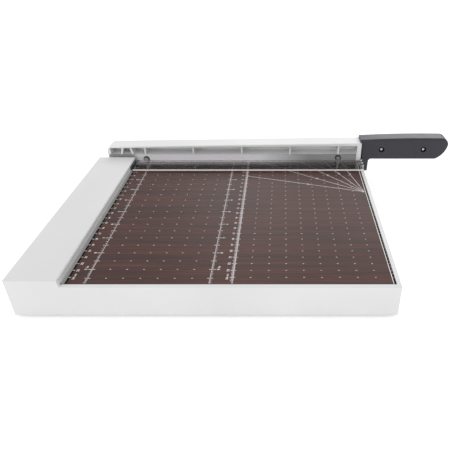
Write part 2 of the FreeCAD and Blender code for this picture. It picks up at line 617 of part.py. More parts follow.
def arm_beam():
    """White cast channel, open to the front above the blade, with a tongue inside the handle."""
    body = new_body("arm_beam")
    front_view = sketch_on(body, "arm_front_view", "XZ_Plane", ARM_FRONT)
    outline(front_view, [
        ("-@arm_left", "@heel_bottom"),
        ("-@pivot_left + @boss_outer", "@heel_bottom"),
        ("-@pivot_left + @boss_outer + 4", "@arm_bottom"),
        ("@blade_right + @blade_play", "@arm_bottom"),
        ("@blade_right + @blade_play", "@arm_end_bottom"),
        ("@arm_right", "@arm_end_bottom"),
        ("@arm_right", "@arm_top_right"),
        ("-@arm_left", "@arm_top_left"),
    ])
    pad(body, "arm_block", front_view, f"{ARM_REAR} - {ARM_FRONT}")
    boss = sketch_on(body, "arm_boss_view", "XZ_Plane", ARM_FRONT)
    circle(boss, (PIVOT, "@pivot_height"), "@boss_outer")
    pad(body, "arm_boss", boss, f"{ARM_REAR} - {ARM_FRONT}")
    dress(body, "PartDesign::Fillet", "arm_end_round",
          lambda edge: along_axis(edge, Vector(0, 1, 0)) and near(edge, "-@arm_left", "@arm_top_left"),
          {"Radius": "@arm_round"})
    dress(body, "PartDesign::Fillet", "arm_corner_rounds",
          lambda edge: along_axis(edge, Vector(0, 1, 0)) and near(edge, "-@arm_left", "@heel_bottom"),
          {"Radius": "@heel_round"})
    bay = sketch_on(body, "arm_bay_view", "XZ_Plane", ARM_FRONT)
    outline(bay, [
        ("-@bay_left", "@bay_bottom"),
        ("@arm_right - @arm_end_wall", "@bay_bottom"),
        ("@arm_right - @arm_end_wall", "@bay_top_right"),
        ("-@bay_left", "@bay_top_left"),
    ])
    pocket(body, "arm_bay", bay, f"{ARM_REAR} - {ARM_FRONT} - @web_thick")
    relief = sketch_on(body, "arm_rear_relief_view", "XZ_Plane", ARM_REAR)
    outline(relief, [
        (f"{PIVOT} + @boss_outer + 11", "@arm_bottom + @relief_edge"),
        ("@arm_right - @relief_edge - 3", "@arm_bottom + @relief_edge"),
        ("@arm_right - @relief_edge - 3", "@arm_top_right - @relief_edge"),
        (f"{PIVOT} + @boss_outer + 11", "@arm_top_left - @relief_edge + 0.5"),
    ])
    pocket(body, "arm_rear_relief", relief, "@relief_depth", sign=-1)
    dress(body, "PartDesign::Fillet", "arm_top_rounds", is_arm_top_edge, {"Radius": "@arm_edge_round"})
    add_arm_ribs(body)
    add_arm_seats(body)
    return body


def near(edge, x, z):
    box_of = edge.BoundBox
    return abs(box_of.Center.x - number(x)) < 0.01 and abs(box_of.Center.z - number(z)) < 0.01


def is_arm_top_edge(edge):
    """The long edges of the sloping top face and of its rounded left end, front and rear."""
    box_of = edge.BoundBox
    at_face = min(abs(box_of.YMin - number(ARM_FRONT)), abs(box_of.YMin - number(ARM_REAR))) < 0.01
    long_top = box_of.XLength > 300 and box_of.ZMax > number("@arm_top_right") - 0.2
    end_round = abs(box_of.XMin + number("@arm_left")) < 0.01 and box_of.ZMax > number("@arm_top_left") - 1.5
    return at_face and box_of.YLength < 0.01 and (long_top or end_round)


def add_arm_ribs(body):
    """Five upright ribs in the bay, two that lean together over the pivot, and the tongue."""
    ribs = sketch_on(body, "arm_rib_view", "XZ_Plane", f"{ARM_FRONT} + @rib_setback")
    low, high = "@bay_bottom - 0.5", "@bay_top_left + 1"
    for step in range(5):
        middle = f"-@first_rib + {step} * @rib_pitch"
        top = f"{high} + {step} * (@bay_top_right - @bay_top_left) / 5"
        rectangle(ribs, (f"{middle} - @arm_rib / 2", low), (f"{middle} + @arm_rib / 2", top))
    for side in (-1, 1):
        foot_x = f"{PIVOT} + @lean_middle + {side} * @lean_foot"
        head_x = f"{PIVOT} + @lean_middle + {side} * @lean_head"
        outline(ribs, [
            (f"{foot_x} - @arm_rib / 2", low),
            (f"{foot_x} + @arm_rib / 2", low),
            (f"{head_x} + @arm_rib / 2", high),
            (f"{head_x} - @arm_rib / 2", high),
        ])
    pad(body, "arm_ribs", ribs, f"{ARM_REAR} - {ARM_FRONT} - @web_thick")
    tongue = sketch_on(body, "arm_tongue_view", "XZ_Plane", f"{ARM_MIDDLE} - @tongue_thick / 2")
    rectangle(tongue, ("@arm_right - 1", "@tongue_low"), ("@tongue_end", "@tongue_high"))
    pad(body, "arm_tongue", tongue, "@tongue_thick")


def add_arm_seats(body):
    """The blade's seat, and holes for the bush, the blade screws and the handle screws."""
    seat = sketch_on(body, "blade_seat_view", "XZ_Plane", ARM_FRONT)
    rectangle(seat, ("-@arm_left - 1", "@tang_bottom - 8"),
              ("@blade_right + @blade_play", "@blade_top + @blade_play"))
    pocket(body, "blade_seat", seat, "@blade_thick + 0.02")
    bore = sketch_on(body, "arm_bore_view", "XZ_Plane", f"{ARM_FRONT} - 1")
    circle(bore, (PIVOT, "@pivot_height"), "@bush_radius")
    for x, z in BLADE_SCREWS:
        circle(bore, (x, z), "@screw_radius - 0.4")
    for x in ("@screw_one", "@screw_two"):
        circle(bore, (x, "@handle_screw_height"), "@screw_radius + 0.1")
    pocket(body, "arm_bores", bore, "40")
    sunk = sketch_on(body, "arm_counterbore_view", "XZ_Plane", f"{ARM_REAR} - @counterbore_depth")
    circle(sunk, (PIVOT, "@pivot_height"), "@counterbore")
    pocket(body, "arm_counterbore", sunk, "@counterbore_depth + 1")


def moving_blade():
    """Steel blade with a slightly bellied, bevelled edge, a tang that turns on the bush and a short tail."""
    body = new_body("moving_blade")
    view = sketch_on(body, "blade_view", "XZ_Plane", BLADE_FRONT)
    outline(view, [
        ("-@blade_left", "@tang_bottom"),
        ("-@pivot_left + 10", "@tang_bottom"),
        ("-@pivot_left + 15", "@edge_left", "@belly_radius", 1),
        ("@blade_right", "@edge_right"),
        ("@blade_right", "@blade_top"),
        ("-@tail_left", "@blade_top"),
        ("-@tail_left", "@tail_bottom"),
        ("-@blade_left", "@tail_bottom"),
    ])
    pad(body, "blade_plate", view, "@blade_thick")
    holes = sketch_on(body, "blade_holes_view", "XZ_Plane", f"{BLADE_FRONT} - 1")
    circle(holes, (PIVOT, "@pivot_height"), "@bush_radius")
    for x, z in BLADE_SCREWS:
        circle(holes, (x, z), "@screw_radius - 0.2")
    pocket(body, "blade_holes", holes, "@blade_thick + 2")
    bevel = dress(body, "PartDesign::Chamfer", "blade_bevel", is_cutting_edge, {})
    bevel.ChamferType = "Two distances"
    bind(bevel, "Size", "@bevel_rise")
    bind(bevel, "Size2", "@bevel_depth")
    return body


def is_cutting_edge(edge):
    """The long lower curve on the blade's rear side."""
    box_of = edge.BoundBox
    rear = abs(box_of.YMin - number(BLADE_REAR)) < 0.01 and box_of.YLength < 0.01
    return rear and box_of.XLength > 200 and box_of.ZMax < number("@blade_top") - 5


def blade_screws():
    """Pan-head screws that hold the blade to the arm, seen above the guard."""
    screws = []
    for index, (x, z) in enumerate(BLADE_SCREWS):
        seat = f"({BLADE_FRONT} - @ring_thick)"
        head = cylinder(f"blade_screw_head_{index}", (x, f"{seat} - @pan_depth", z), "@pan_head",
                        "@pan_depth", "y")
        shank = cylinder(f"blade_screw_shank_{index}", (x, f"{seat} - 0.5", z), "@screw_radius - 0.4",
                         "13", "y")
        socket = prism(f"blade_screw_socket_{index}", 6, (x, f"{seat} - @pan_depth - 1", z),
                       "@small_socket", "2", "y")
        screws.append(cut(f"blade_screw_{index}", fuse(f"blade_screw_body_{index}", head, shank), socket))
    return group("blade_screws", screws)


def blade_washers():
    """Dark fibre washers under the blade screws."""
    washers = []
    for index, (x, z) in enumerate(BLADE_SCREWS):
        place = (x, f"{BLADE_FRONT} - @ring_thick", z)
        disc = cylinder(f"blade_washer_disc_{index}", place, "@ring_radius", "@ring_thick", "y")
        bore = cylinder(f"blade_washer_bore_{index}", (x, f"{BLADE_FRONT} - 2", z), "@screw_radius", "3",
                        "y")
        washers.append(cut(f"blade_washer_{index}", disc, bore))
    return group("blade_washers", washers)


HANDLE_CORNERS = [
    ("@arm_right - @handle_lap", "@handle_top_left"),
    ("@arm_right - @handle_lap", "@arm_top_right + @handle_gap"),
    ("@arm_right + @handle_gap", "@arm_top_right + @handle_gap"),
    ("@arm_right + 1.4", "@board_height"),
    ("@arm_right + 7.6", "@prong_bottom"),
    ("@arm_right + 11.2", "@prong_bottom"),
    ("@arm_right + 11.6", "@handle_bottom - 4", "4.2", -1),
    ("@arm_right + 15.6", "@handle_bottom"),
    ("@overall_length / 2 - 14.5", "@handle_bottom", "28", 1),
    ("@overall_length / 2 - 0.1", "@handle_bottom + 22", "11", 1),
    ("@overall_length / 2 - 9", "@handle_top_right - 0.4", "1500", 1),
]


def handle_half(name, near_face, outer_face):
    """One half of the grip; the outline carries a prong that keeps fingers off the blade's end."""
    front = outer_face == ARM_FRONT
    inward = -1 if front else 1
    body = new_body(name)
    view = sketch_on(body, name + "_view", "XZ_Plane", ARM_FRONT if front else ARM_MIDDLE)
    outline(view, HANDLE_CORNERS)
    pad(body, name + "_block", view, f"({ARM_REAR} - {ARM_FRONT}) / 2")
    dress(body, "PartDesign::Fillet", name + "_top_round", lambda edge: is_grip_edge(edge, outer_face, True),
          {"Radius": "@grip_round"})
    dress(body, "PartDesign::Fillet", name + "_low_round", lambda edge: is_grip_edge(edge, outer_face, False),
          {"Radius": "@grip_round / 2"})
    cavity = sketch_on(body, name + "_cavity_view", "XZ_Plane", near_face)
    rectangle(cavity, ("@arm_right - 4", "@tongue_low - 0.1"), ("@tongue_end + 0.2", "@tongue_high + 0.1"))
    pocket(body, name + "_cavity", cavity, "@tongue_thick / 2 + 0.05", sign=inward)
    holes = sketch_on(body, name + "_holes_view", "XZ_Plane", near_face)
    for x in ("@screw_one", "@screw_two"):
        circle(holes, (x, "@handle_screw_height"), "@screw_radius + 0.1")
    pocket(body, name + "_holes", holes, "15", sign=inward)
    recess = sketch_on(body, name + "_recess_view", "XZ_Plane", outer_face)
    for x in ("@screw_one", "@screw_two"):
        circle(recess, (x, "@handle_screw_height"), "@recess_radius")
    pocket(body, name + "_recess", recess, "@recess_depth", sign=-inward)
    return body


def is_grip_edge(edge, face, upper):
    """Edges of the half's outer face: the crown and the end above, or the rest below."""
    box_of = edge.BoundBox
    at_face = abs(box_of.YMin - number(face)) < 0.01 and box_of.YLength < 0.01
    crown = box_of.ZMax > number("@handle_top_left") - 1 and box_of.XLength > 5
    grip_end = box_of.XMin > number("@overall_length / 2") - 20
    if upper:
        return at_face and (crown or grip_end)
    return at_face and not crown and not grip_end and box_of.XMin > number("@arm_right") - 0.5


def handle_screws():
    """Socket screws that clamp the two halves of the grip on the tongue."""
    screws = []
    for index, x in enumerate(("@screw_one", "@screw_two")):
        seat = f"({ARM_FRONT} + @recess_depth)"
        start = (x, f"{seat} - @grip_head_depth", "@handle_screw_height")
        head = cylinder(f"handle_screw_head_{index}", start, "@grip_screw_head", "@grip_head_depth", "y")
        shank = cylinder(f"handle_screw_shank_{index}", (x, f"{seat} - 0.5", "@handle_screw_height"),
                         "@screw_radius", f"{ARM_REAR} - {seat} - 0.5", "y")
        socket = prism(f"handle_screw_socket_{index}", 6, (x, f"{seat} - 3", "@handle_screw_height"),
                       "@small_socket", "2.2", "y")
        screws.append(cut(f"handle_screw_{index}", fuse(f"handle_screw_body_{index}", head, shank), socket))
    return group("handle_screws", screws)


def handle_nuts():
    """Nuts in the recesses of the rear half."""
    nuts = []
    for index, x in enumerate(("@screw_one", "@screw_two")):
        place = (x, f"{ARM_REAR} - @recess_depth", "@handle_screw_height")
        hexagon = prism(f"handle_nut_hexagon_{index}", 6, place, "@grip_nut", "@grip_nut_depth", "y")
        start = (x, f"{ARM_REAR} - @recess_depth - 1", "@handle_screw_height")
        bore = cylinder(f"handle_nut_bore_{index}", start, "@screw_radius", "@grip_nut_depth + 2", "y")
        nuts.append(cut(f"handle_nut_{index}", hexagon, bore))
    return group("handle_nuts", nuts)


# ---------------------------------------------------------------- guard
def clear_guard():
    """Clear strip over the cut line; paper lifts it, and it drops back under its own weight."""
    strip = box("guard_strip", (f"{FENCE_FACE} - @guard_tongue", GUARD_FRONT, GUARD_UNDER),
                (f"{RAIL_FACE} + @right_rim - @guard_setback - {FENCE_FACE} + @guard_tongue", "@guard_depth",
                 "@guard_thick"))
    holes = [
        cylinder(f"guard_hole_{index}", (RAIL_MIDDLE, y, f"{GUARD_UNDER} - 1"), "@guide_radius + @guide_gap",
                 "@guard_thick + 2")
        for index, y in enumerate(GUIDE_PLACES)
    ]
    drilled = cut("guard_drilled", strip, *holes)
    bevelled = doc.addObject("Part::Chamfer", "clear_guard")
    bevelled.Base = drilled
    doc.recompute()
    bevel = number("@guard_bevel")
    bevelled.Edges = [
        (index, bevel, bevel)
        for index, edge in enumerate(drilled.Shape.Edges, start=1)
        if edge.BoundBox.XLength > 300 and abs(edge.BoundBox.YMin - number(GUARD_FRONT)) < 0.01
    ]
    return bevelled


def guard_guides():
    """Shouldered pins in the right rail that the guard rides up and down on."""
    pins = []
    for index, y in enumerate(GUIDE_PLACES):
        start = f"{RIM_TOP} - @guide_root"
        seat = f"{GUARD_HIGHEST} + 0.2"
        stem = cylinder(f"guide_stem_{index}", (RAIL_MIDDLE, y, RIM_TOP), "@guide_radius",
                        f"{seat} - {RIM_TOP}")
        root = cylinder(f"guide_root_{index}", (RAIL_MIDDLE, y, start), "@guide_radius - @screw_play",
                        "@guide_root + 0.5")
        head = cylinder(f"guide_head_{index}", (RAIL_MIDDLE, y, seat), "@guide_head", "@guide_head_depth")
        pins.append(fuse(f"guide_{index}", stem, root, head))
    return group("guard_guides", pins)


# ---------------------------------------------------------------- assembly and export
def build_parts():
    return [
        base_tray(),
        cutting_board(),
        squaring_strip(),
        base_cover(),
        cover_screws(),
        board_screws(),
        *rubber_feet(),
        fixed_blade(),
        fixed_blade_screws(),
        pivot_bracket(),
        pivot_bolt(),
        pivot_washer(),
        pivot_bush(),
        spring_washer(),
        pivot_nut(),
        open_stop_pin(),
        arm_rest(),
        rest_buffer(),
        arm_beam(),
        moving_blade(),
        blade_screws(),
        blade_washers(),
        handle_half("handle_front", ARM_MIDDLE, ARM_FRONT),
        handle_half("handle_rear", ARM_MIDDLE, ARM_REAR),
        handle_screws(),
        handle_nuts(),
        clear_guard(),
        guard_guides(),
    ]


def check_document(parts):
    """Stop before anything is written if an object failed or a sub-part has no sound shape."""
    for thing in doc.Objects:
        if "Invalid" in thing.State or "Error" in thing.State:
            raise RuntimeError(f"{thing.Label} failed: {thing.State}")
    for part in parts:
        if part.Shape.isNull() or not part.Shape.isValid():
            raise RuntimeError(f"{part.Label} has no valid shape")


parts = build_parts()
doc.recompute()
check_document(parts)
os.makedirs("parts", exist_ok=True)
for part in parts:
    part.Shape.exportStep(f"parts/{part.Label}.step")
    size = part.Shape.BoundBox
    print(f"{part.Label}: {part.Shape.Volume / 1000:.2f} cm3, {len(part.Shape.Solids)} solid(s), "
          f"x {size.XMin:.1f}..{size.XMax:.1f}, y {size.YMin:.1f}..{size.YMax:.1f}, "
          f"z {size.ZMin:.1f}..{size.ZMax:.1f}")
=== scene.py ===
import json
import math
import bmesh
import bpy
from mathutils import Matrix, Vector


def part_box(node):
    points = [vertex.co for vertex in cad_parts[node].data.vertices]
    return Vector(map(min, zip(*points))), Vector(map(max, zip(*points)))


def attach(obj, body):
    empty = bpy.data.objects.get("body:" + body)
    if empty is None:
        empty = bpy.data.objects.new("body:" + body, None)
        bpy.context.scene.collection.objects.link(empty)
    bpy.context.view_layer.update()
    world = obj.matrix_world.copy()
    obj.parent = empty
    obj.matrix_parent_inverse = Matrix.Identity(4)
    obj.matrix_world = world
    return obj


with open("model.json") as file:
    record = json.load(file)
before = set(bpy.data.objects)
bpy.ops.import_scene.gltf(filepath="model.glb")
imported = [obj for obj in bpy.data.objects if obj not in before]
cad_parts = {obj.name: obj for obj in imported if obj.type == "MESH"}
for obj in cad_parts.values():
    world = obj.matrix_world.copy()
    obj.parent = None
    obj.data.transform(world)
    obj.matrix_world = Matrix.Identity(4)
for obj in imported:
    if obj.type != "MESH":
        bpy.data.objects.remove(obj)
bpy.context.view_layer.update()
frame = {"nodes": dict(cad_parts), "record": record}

# ---------------------------------------------------------------- places read from the frame
MM = 0.001
BOARD_LOW, BOARD_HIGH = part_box("cutting_board")
STRIP_LOW, STRIP_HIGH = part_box("squaring_strip")
GUARD_LOW, GUARD_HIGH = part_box("clear_guard")
BOARD_TOP = BOARD_HIGH.z
CUT_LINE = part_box("fixed_blade")[1].y

# the print's layers, up from the board's top: the black edge bands lie under the ink
BAND_LIFT = 0.01 * MM
PRINT_LIFT = 0.04 * MM
PRINT_THICK = 0.06 * MM

# the scales count forward, in millimetres, from a zero just in front of the cut line
PRINT_ZERO = CUT_LINE - 1.5 * MM
SCALE_ROOM = (PRINT_ZERO - BOARD_LOW.y) / MM
LINE_START = 3
LINE_END = SCALE_ROOM - 1.5
CM_ROWS = 24
CM = 10
INCH = 25.4
LAST_INCH = 9

# the print's columns, from left to right across the board
BAND_WIDTH = 2.2 * MM
LEFT_BAND = STRIP_HIGH.x + 0.9 * MM
LEFT_SCALE = BOARD_LOW.x + 3.9 * MM
LEFT_LINE = LEFT_SCALE + 19.3 * MM
LEFT_DOTS = LEFT_SCALE + 36.9 * MM
MIDDLE_LINE = LEFT_SCALE + 137.5 * MM
THICK_LINE = LEFT_SCALE + 159.5 * MM
RIGHT_DOTS = LEFT_SCALE + 176.6 * MM
EDGE_LINE = BOARD_HIGH.x - 2.4 * MM
RIGHT_BAND = EDGE_LINE + 1.25 * MM
LEFT_DOT_PITCH = 16.65 * MM
RIGHT_DOT_PITCH = 17.33 * MM

# the point that the 15-degree lines fan out from
FAN_X = BOARD_HIGH.x - 4.0 * MM
FAN_ROW = 81.8

# where the strip's wall rises from its foot, and where the blade leaves the arm's left end: the painted
# shade on the strip's foot and on the blade's tang begins at these
STRIP_WALL_FOOT = STRIP_LOW.z + 2.35 * MM
BLADE_TANG = STRIP_LOW.x - 3 * MM

# how deep the grip's screw heads lie under its front face
RECESS_HEAD = 1.6 * MM


# ---------------------------------------------------------------- node material helpers
def new_material(name):
    """An empty node material with one Principled shader."""
    material = bpy.data.materials.new(name)
    material.use_nodes = True
    nodes = material.node_tree.nodes
    nodes.clear()
    output = nodes.new("ShaderNodeOutputMaterial")
    shader = nodes.new("ShaderNodeBsdfPrincipled")
    material.node_tree.links.new(shader.outputs["BSDF"], output.inputs["Surface"])
    return material, material.node_tree, shader


def stretched_coordinates(tree, scale):
    """Object coordinates, in metres, stretched by a scale for each axis."""
    place = tree.nodes.new("ShaderNodeTexCoord")
    mapping = tree.nodes.new("ShaderNodeMapping")
    mapping.inputs["Scale"].default_value = scale
    tree.links.new(place.outputs["Object"], mapping.inputs["Vector"])
    return mapping.outputs["Vector"]


def along_axis(tree, axis, start, end):
    """A value that runs from 0 to 1 between two places on one of the object's own axes, in metres."""
    place = tree.nodes.new("ShaderNodeTexCoord")
    split = tree.nodes.new("ShaderNodeSeparateXYZ")
    tree.links.new(place.outputs["Object"], split.inputs["Vector"])
    node = tree.nodes.new("ShaderNodeMapRange")
    node.inputs["From Min"].default_value = start
    node.inputs["From Max"].default_value = end
    tree.links.new(split.outputs[axis], node.inputs["Value"])
    return node.outputs["Result"]


def noise(tree, vector, scale, detail=4.0, roughness=0.55, distortion=0.0):
    """A noise value, mostly between 0.3 and 0.7."""
    texture = tree.nodes.new("ShaderNodeTexNoise")
    texture.inputs["Scale"].default_value = scale
    texture.inputs["Detail"].default_value = detail
    texture.inputs["Roughness"].default_value = roughness
    texture.inputs["Distortion"].default_value = distortion
    tree.links.new(vector, texture.inputs["Vector"])
    return texture.outputs["Fac"]


def ramp(tree, value, stops):
    """A colour ramp; each stop is (position, (r, g, b))."""
    node = tree.nodes.new("ShaderNodeValToRGB")
    node.color_ramp.elements[0].position = stops[0][0]
    node.color_ramp.elements[0].color = (*stops[0][1], 1)
    node.color_ramp.elements[1].position = stops[-1][0]
    node.color_ramp.elements[1].color = (*stops[-1][1], 1)
    for position, color in stops[1:-1]:
        node.color_ramp.elements.new(position).color = (*color, 1)
    tree.links.new(value, node.inputs["Fac"])
    return node.outputs["Color"]


def value_range(tree, value, low, high):
    """A value from 0 to 1, spread between two others."""
    node = tree.nodes.new("ShaderNodeMapRange")
    node.inputs["To Min"].default_value = low
    node.inputs["To Max"].default_value = high
    tree.links.new(value, node.inputs["Value"])
    return node.outputs["Result"]


def blend_colors(tree, factor, first, second, mode="MIX", amount=None):
    """The second colour over the first, by a linked factor or, without one, by a fixed amount."""
    node = tree.nodes.new("ShaderNodeMix")
    node.data_type = "RGBA"
    node.blend_type = mode
    if amount is None:
        tree.links.new(factor, node.inputs["Factor"])
    else:
        node.inputs["Factor"].default_value = amount
    tree.links.new(first, node.inputs["A"])
    tree.links.new(second, node.inputs["B"])
    return node.outputs["Result"]


def bump(tree, shader, height, strength, distance):
    """Fine relief, with its depth in metres."""
    node = tree.nodes.new("ShaderNodeBump")
    node.inputs["Strength"].default_value = strength
    node.inputs["Distance"].default_value = distance
    tree.links.new(height, node.inputs["Height"])
    tree.links.new(node.outputs["Normal"], shader.inputs["Normal"])


def moulded_plastic(name, dark, light, roughness, grain=900.0, depth=0.00002):
    """Satin moulded plastic: faint tone drift, fine spark-eroded grain and uneven gloss."""
    material, tree, shader = new_material(name)
    vector = stretched_coordinates(tree, (1, 1, 1))
    drift = noise(tree, vector, 7.0, 3.0)
    tree.links.new(ramp(tree, drift, [(0.35, dark), (0.65, light)]), shader.inputs["Base Color"])
    fine = noise(tree, vector, grain, 2.0)
    patches = noise(tree, vector, 60.0, 3.0)
    gloss = value_range(tree, patches, roughness - 0.05, roughness + 0.07)
    tree.links.new(gloss, shader.inputs["Roughness"])
    bump(tree, shader, fine, 0.25, depth)
    shader.inputs["IOR"].default_value = 1.46
    return material


def brushed_metal(name, dark, light, roughness, along=(2, 60, 60), depth=0.00001):
    """Steel ground along one axis: long fine scratches in tone, gloss and relief."""
    material, tree, shader = new_material(name)
    vector = stretched_coordinates(tree, along)
    lines = noise(tree, vector, 60.0, 5.0, 0.6)
    tree.links.new(ramp(tree, lines, [(0.3, dark), (0.7, light)]), shader.inputs["Base Color"])
    gloss = value_range(tree, lines, roughness - 0.08, roughness + 0.12)
    tree.links.new(gloss, shader.inputs["Roughness"])
    shader.inputs["Metallic"].default_value = 1.0
    bump(tree, shader, lines, 0.3, depth)
    return material


def rosewood_board():
    """Dark printed rosewood laminate: fine grain along the cut line, thin red streaks, satin lacquer."""
    material, tree, shader = new_material("rosewood_laminate")
    broad = noise(tree, stretched_coordinates(tree, (1.0, 22, 1)), 6.0, 4.0, 0.55, 0.4)
    streaks = noise(tree, stretched_coordinates(tree, (1.6, 120, 1)), 7.0, 6.0, 0.62, 0.5)
    threads = noise(tree, stretched_coordinates(tree, (1.1, 75, 1)), 7.0, 3.0, 0.5, 0.3)
    pores = noise(tree, stretched_coordinates(tree, (9, 420, 1)), 9.0, 3.0, 0.7)
    base = ramp(tree, streaks, [(0.3, (0.030, 0.012, 0.010)), (0.5, (0.052, 0.022, 0.018)),
                                (0.72, (0.090, 0.040, 0.034))])
    tone = ramp(tree, broad, [(0.38, (0.030, 0.015, 0.013)), (0.62, (0.086, 0.031, 0.024))])
    mixed = blend_colors(tree, None, base, tone, amount=0.38)
    red = ramp(tree, streaks, [(0.3, (0.105, 0.024, 0.014)), (0.7, (0.150, 0.040, 0.024))])
    veins = value_range(tree, ramp(tree, threads, [(0.54, (0, 0, 0)), (0.64, (1, 1, 1))]), 0, 0.6)
    veined = blend_colors(tree, veins, mixed, red)
    dark = ramp(tree, pores, [(0.36, (0.5, 0.5, 0.5)), (0.52, (1.0, 1.0, 1.0))])
    grained = blend_colors(tree, None, veined, dark, "MULTIPLY", amount=0.5)
    tree.links.new(grained, shader.inputs["Base Color"])
    tree.links.new(value_range(tree, streaks, 0.34, 0.5), shader.inputs["Roughness"])
    shader.inputs["Specular IOR Level"].default_value = 0.3
    bump(tree, shader, pores, 0.2, 0.00002)
    return material


def printed_ink(name, dark, light, gloss=0.5):
    """Screen-printed ink, a little rubbed and broken up."""
    material, tree, shader = new_material(name)
    wear = noise(tree, stretched_coordinates(tree, (1, 1, 1)), 300.0, 4.0)
    tree.links.new(ramp(tree, wear, [(0.3, dark), (0.5, light)]), shader.inputs["Base Color"])
    tree.links.new(value_range(tree, wear, 0.4, 0.6), shader.inputs["Roughness"])
    shader.inputs["Specular IOR Level"].default_value = gloss
    return material


def extruded_strip():
    """Grey extrusion, paler on the upright wall above its foot; the foot's darker grey is painted shade
    where the wall meets the board.
    """
    material, tree, shader = new_material("strip_plastic")
    vector = stretched_coordinates(tree, (2, 60, 60))
    lines = noise(tree, vector, 14.0, 4.0)
    # painted shade: the foot takes a darker copy of the wall's grey, for the shade at the base of the
    # wall
    foot = ramp(tree, lines, [(0.3, (0.23, 0.235, 0.23)), (0.7, (0.29, 0.295, 0.29))])
    wall = ramp(tree, lines, [(0.3, (0.56, 0.565, 0.56)), (0.7, (0.64, 0.645, 0.64))])
    height = along_axis(tree, "Z", STRIP_WALL_FOOT, STRIP_WALL_FOOT + 0.2 * MM)
    tree.links.new(blend_colors(tree, height, foot, wall), shader.inputs["Base Color"])
    tree.links.new(value_range(tree, lines, 0.4, 0.55), shader.inputs["Roughness"])
    bump(tree, shader, lines, 0.2, 0.00002)
    return material


def blade_metal():
    """Ground steel: a painted highlight along the left half, fading to greyer painted shade on the
    right, and painted shade at the tang under the arm.
    """
    material, tree, shader = new_material("ground_steel")
    lines = noise(tree, stretched_coordinates(tree, (2, 60, 60)), 60.0, 5.0, 0.6)
    # painted highlight on the blade's left half, painted shade on its right half and at the tang under
    # the arm
    painted_highlight = ramp(tree, lines, [(0.3, (0.88, 0.86, 0.89)), (0.7, (0.98, 0.96, 0.99))])
    painted_shade = ramp(tree, lines, [(0.3, (0.34, 0.34, 0.35)), (0.7, (0.44, 0.44, 0.45))])
    tang_shade = ramp(tree, lines, [(0.3, (0.30, 0.30, 0.305)), (0.7, (0.38, 0.38, 0.385))])
    highlight_fade = blend_colors(tree, along_axis(tree, "X", -20 * MM, 50 * MM), painted_highlight, painted_shade)
    tang = along_axis(tree, "X", BLADE_TANG, BLADE_TANG + 7 * MM)
    tree.links.new(blend_colors(tree, tang, tang_shade, highlight_fade), shader.inputs["Base Color"])
    tree.links.new(value_range(tree, lines, 0.42, 0.58), shader.inputs["Roughness"])
    shader.inputs["Metallic"].default_value = 0.45
    bump(tree, shader, lines, 0.3, 0.00001)
    return material


def clear_acrylic():
    """Polished acrylic with the slightest dust and haze, tinted grey as painted shade: the board seen
    through it looks darker.
    """
    material, tree, shader = new_material("clear_acrylic")
    dust = noise(tree, stretched_coordinates(tree, (1, 1, 1)), 140.0, 5.0)
    tree.links.new(value_range(tree, dust, 0.0, 0.006), shader.inputs["Roughness"])
    # painted shade: the grey tint darkens the board under the guard, for the shade that falls on it
    # there
    tree.links.new(ramp(tree, dust, [(0.3, (0.68, 0.67, 0.675)), (0.7, (0.72, 0.71, 0.715))]),
                   shader.inputs["Base Color"])
    shader.inputs["Transmission Weight"].default_value = 1.0
    shader.inputs["IOR"].default_value = 1.49
    return material


def rubber(name, tone=1.0, gloss=0.5):
    """Matt black rubber or fibre with a fine grain; a lower tone is blacker."""
    material, tree, shader = new_material(name)
    vector = stretched_coordinates(tree, (1, 1, 1))
    fine = noise(tree, vector, 1200.0, 2.0)
    dark, light = 0.012 * tone, 0.03 * tone
    tree.links.new(ramp(tree, fine, [(0.3, (dark, dark, dark)), (0.7, (light, light, light))]),
                   shader.inputs["Base Color"])
    shader.inputs["Specular IOR Level"].default_value = gloss
    tree.links.new(value_range(tree, fine, 0.65, 0.85), shader.inputs["Roughness"])
    bump(tree, shader, fine, 0.3, 0.00003)
    return material


MATERIALS = {
    "tray_white": moulded_plastic("tray_plastic", (0.66, 0.66, 0.665), (0.70, 0.70, 0.705), 0.5),
    "arm_white": moulded_plastic("arm_plastic", (0.70, 0.70, 0.70), (0.74, 0.74, 0.74), 0.45),
    "board_brown": rosewood_board(),
    "strip_grey": extruded_strip(),
    "cover_grey": moulded_plastic("cover_paint", (0.10, 0.10, 0.105), (0.13, 0.13, 0.135), 0.5, 500.0),
    "fastener_steel": brushed_metal("bright_zinc", (0.52, 0.52, 0.53), (0.75, 0.75, 0.76), 0.28,
                                    (40, 40, 40)),
    "blade_steel": blade_metal(),
    "bracket_steel": brushed_metal("plated_steel", (0.38, 0.38, 0.39), (0.52, 0.52, 0.54), 0.4,
                                   (20, 20, 60)),
    "washer_black": rubber("black_fibre"),
    "foot_rubber": rubber("black_rubber"),
    "bush_bronze": brushed_metal("sintered_bronze", (0.36, 0.22, 0.10), (0.52, 0.34, 0.16), 0.4,
                                 (60, 60, 60)),
    "handle_charcoal": moulded_plastic("grip_plastic", (0.018, 0.018, 0.026), (0.024, 0.024, 0.034), 0.4,
                                       1100.0, 0.00003),
    "guard_clear": clear_acrylic(),
}


def dress_nodes():
    """Every carried-over CAD node takes the material of its slot in the record."""
    for row in frame["record"]["subparts"]:
        node = frame["nodes"][row["node"]]
        node.data.materials.clear()
        node.data.materials.append(MATERIALS[row["material_slot"]])


def new_piece(name, mesh, material):
    """One new object from a bmesh, in the frame's own metres."""
    bmesh.ops.recalc_face_normals(mesh, faces=mesh.faces)
    shape = bpy.data.meshes.new(name)
    mesh.to_mesh(shape)
    mesh.free()
    shape.materials.append(material)
    piece = bpy.data.objects.new(name, shape)
    bpy.context.scene.collection.objects.link(piece)
    return piece


# ---------------------------------------------------------------- the print on the board
def board_y(millimetres):
    """The place of a mark that stands so far in front of the scales' zero."""
    return PRINT_ZERO - millimetres * MM


